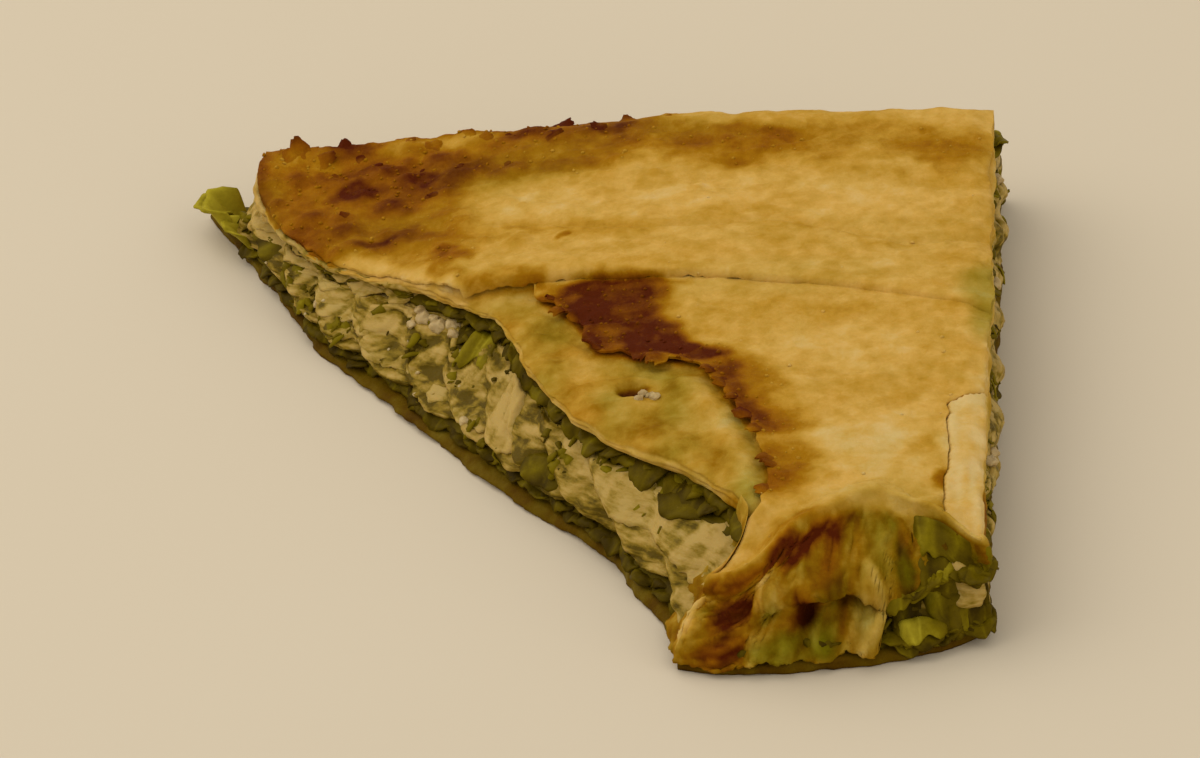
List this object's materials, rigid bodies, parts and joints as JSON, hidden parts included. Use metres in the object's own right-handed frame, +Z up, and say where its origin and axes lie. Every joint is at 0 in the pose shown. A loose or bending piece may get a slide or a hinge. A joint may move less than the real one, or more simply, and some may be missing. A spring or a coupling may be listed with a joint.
{
  "type": "borek slice",
  "caption": "Ragged, roughly triangular slice of tray borek: browned pastry crust over soft pastry layers and chopped greens.",
  "frame": {"origin": "middle of the flat foot, on the surface that the slice rests on", "axes": "+Z up through the crust; +X along the back edge towards the right cut side; +Y from the tip to the back edge"},
  "size_m": [0.1156, 0.117, 0.0177],
  "materials": {
    "bottom_pastry": "browned, slightly oily pastry base, matt",
    "lower_greens": "moist cooked greens with bits of white cheese, satin",
    "middle_pastry": "soft, folded, steamed pastry with green streaks and cheese, moist",
    "upper_greens": "moist cooked greens, dark and slightly glossy",
    "top_pastry": "baked filo crust, golden with brown and burnt patches, buttery satin"
  },
  "bodies": {
    "root": {"bottom_pastry": "bottom_pastry", "lower_greens": "lower_greens", "middle_pastry": "middle_pastry", "upper_greens": "upper_greens", "top_pastry": "top_pastry"}
  },
  "joints": []
}
